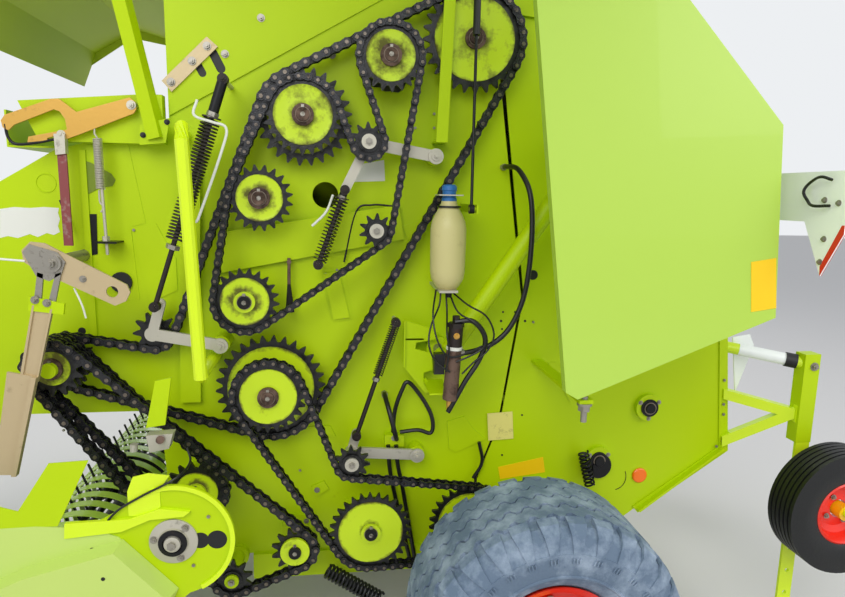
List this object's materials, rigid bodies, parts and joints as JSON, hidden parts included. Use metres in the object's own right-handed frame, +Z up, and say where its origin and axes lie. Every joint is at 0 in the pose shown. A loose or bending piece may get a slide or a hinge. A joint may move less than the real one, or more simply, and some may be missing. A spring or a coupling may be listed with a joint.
{
  "type": "round baler",
  "caption": "Towed round baler with a fixed chamber of steel rollers, open chain side, hinged tailgate, pickup and stowed gauge wheels.",
  "frame": {"origin": "centre of the hitch eye", "axes": "+X rearwards along the machine, +Y to its right side, +Z up"},
  "size_m": [4.725, 3.4985, 3.2616],
  "materials": {
    "paint_green": "gloss",
    "paint_pale": "gloss",
    "bare_steel": "satin",
    "black_steel": "satin",
    "chain_steel": "greasy",
    "galvanised": "matt",
    "yellow_zinc": "satin",
    "chrome_rod": "polished",
    "tyre_rubber": "matt",
    "rim_red": "gloss",
    "bottle_plastic": "satin",
    "hose_rubber": "satin",
    "old_iron": "rusty",
    "board_white": "satin",
    "guard_black": "satin"
  },
  "bodies": {
    "frame": {"chassis": "paint_green", "drawbar": "paint_green", "hitch_eye": "bare_steel", "parking_jack": "galvanised", "driveline": "guard_black", "gearbox": "paint_green", "side_wall_left": "paint_green", "side_wall_right": "paint_green", "cylinder_pins": "bare_steel", "front_frame": "paint_green", "roof": "paint_green", "front_rollers": "bare_steel", "main_chain": "chain_steel", "upper_chain": "chain_steel", "lower_chain": "chain_steel", "rotor_chain": "chain_steel", "pickup_chain": "chain_steel", "main_sprockets": "paint_green", "upper_sprockets": "paint_green", "lower_sprockets": "paint_green", "chain_tensioners": "yellow_zinc", "spring_struts": "black_steel", "guard_tube": "paint_pale", "oil_bottle": "bottle_plastic", "oil_pump": "old_iron", "net_lever": "yellow_zinc", "bell_crank": "galvanised", "hydraulic_hoses": "hose_rubber"},
    "hood": {"net_hood": "paint_green"},
    "cover_left": {"side_cover_left": "paint_pale"},
    "cover_right": {"side_cover_right": "paint_pale"},
    "rotor": {"feed_rotor": "bare_steel"},
    "pickup": {"pickup_frame": "paint_pale", "strippers": "paint_pale"},
    "reel": {"reel": "black_steel"},
    "tailgate": {"tailgate_shell": "paint_green", "tailgate_rollers": "bare_steel", "lamp_boards": "board_white", "gauge_posts": "paint_green", "panel_brackets": "paint_green"},
    "gauge_left": {"gauge_wheel_left": "tyre_rubber"},
    "gauge_right": {"gauge_wheel_right": "tyre_rubber"},
    "panel_left": {"rear_panel_left": "paint_pale"},
    "panel_right": {"rear_panel_right": "paint_pale"},
    "strut_rod": {"gas_strut_rod": "chrome_rod"},
    "strut_tube": {"gas_strut_tube": "black_steel"},
    "barrel_left": {"cylinder_left": "paint_green"},
    "ram_left": {"rod_left": "chrome_rod"},
    "barrel_right": {"cylinder_right": "paint_green"},
    "ram_right": {"rod_right": "chrome_rod"},
    "wheel_left": {"tyre_left": "tyre_rubber", "rim_left": "rim_red"},
    "wheel_right": {"tyre_right": "tyre_rubber", "rim_right": "rim_red"}
  },
  "joints": [
    {"name": "wheel_left_spin", "type": "hinge", "parent": "frame", "child": "wheel_left", "pos_m": [3.21, -1.04, 0], "axis": [0, 1, 0], "continuous": true},
    {"name": "wheel_right_spin", "type": "hinge", "parent": "frame", "child": "wheel_right", "pos_m": [3.21, 1.04, 0], "axis": [0, 1, 0], "continuous": true},
    {"name": "tailgate_lift", "type": "hinge", "parent": "frame", "child": "tailgate", "pos_m": [2.99, 0, 2.19], "axis": [0, -1, 0], "range_deg": [0, 58]},
    {"name": "panel_left_swing", "type": "hinge", "parent": "tailgate", "child": "panel_left", "pos_m": [3.297, -1.1, 1.05], "axis": [0, 0, -1], "range_deg": [0, 90]},
    {"name": "panel_right_swing", "type": "hinge", "parent": "tailgate", "child": "panel_right", "pos_m": [3.297, 1.1, 1.05], "axis": [0, 0, 1], "range_deg": [0, 90]},
    {"name": "cover_left_lift", "type": "hinge", "parent": "frame", "child": "cover_left", "pos_m": [2.5, -0.68, 2.2], "axis": [1, 0, 0], "range_deg": [0, 96]},
    {"name": "cover_right_lift", "type": "hinge", "parent": "frame", "child": "cover_right", "pos_m": [2.5, 0.68, 2.2], "axis": [1, 0, 0], "range_deg": [0, 96]},
    {"name": "strut_swing", "type": "hinge", "parent": "frame", "child": "strut_rod", "pos_m": [2.96, -0.88, 1.386], "axis": [1, 0, 0], "range_deg": [-1, 23.07]},
    {"name": "strut_slide", "type": "slide", "parent": "strut_rod", "child": "strut_tube", "axis": [0.0322, 0.1571, 0.9871], "range_m": [-0.4292, 0.005]},
    {"name": "hood_lift", "type": "hinge", "parent": "frame", "child": "hood", "pos_m": [2.005, 0, 2.08], "axis": [0, -1, 0], "range_deg": [0, 22]},
    {"name": "pickup_lift", "type": "hinge", "parent": "frame", "child": "pickup", "pos_m": [2.023, 0, 0.366], "axis": [0, -1, 0], "range_deg": [0, 20]},
    {"name": "reel_spin", "type": "hinge", "parent": "pickup", "child": "reel", "pos_m": [1.6, 0, 0.07], "axis": [0, 1, 0], "continuous": true},
    {"name": "rotor_spin", "type": "hinge", "parent": "frame", "child": "rotor", "pos_m": [2.369, 0, 0.15], "axis": [0, 1, 0], "continuous": true},
    {"name": "gauge_left_spin", "type": "hinge", "parent": "tailgate", "child": "gauge_left", "pos_m": [4.43, -0.9, 0.27], "axis": [0, 1, 0], "continuous": true},
    {"name": "gauge_right_spin", "type": "hinge", "parent": "tailgate", "child": "gauge_right", "pos_m": [4.43, 0.9, 0.27], "axis": [0, 1, 0], "continuous": true},
    {"name": "barrel_left_swing", "type": "hinge", "parent": "frame", "child": "barrel_left", "pos_m": [2.9, -0.778, 0.86], "axis": [0, -1, 0], "range_deg": [-1, 5.5]},
    {"name": "ram_left_slide", "type": "slide", "parent": "barrel_left", "child": "ram_left", "axis": [0.5597, 0, 0.8287], "range_m": [-0.005, 0.683]},
    {"name": "barrel_right_swing", "type": "hinge", "parent": "frame", "child": "barrel_right", "pos_m": [2.9, 0.778, 0.86], "axis": [0, -1, 0], "range_deg": [-1, 5.5]},
    {"name": "ram_right_slide", "type": "slide", "parent": "barrel_right", "child": "ram_right", "axis": [0.5597, 0, 0.8287], "range_m": [-0.005, 0.683]}
  ],
  "couplings": [
    {"joint": "barrel_left_swing", "follows": "tailgate_lift", "ratio": 0.07714},
    {"joint": "ram_left_slide", "follows": "tailgate_lift", "m_per_rad": 0.66969},
    {"joint": "barrel_right_swing", "follows": "tailgate_lift", "ratio": 0.07714},
    {"joint": "ram_right_slide", "follows": "tailgate_lift", "m_per_rad": 0.66969},
    {"joint": "strut_swing", "follows": "cover_left_lift", "ratio": 0.22991},
    {"joint": "strut_slide", "follows": "cover_left_lift", "m_per_rad": -0.25315}
  ]
}
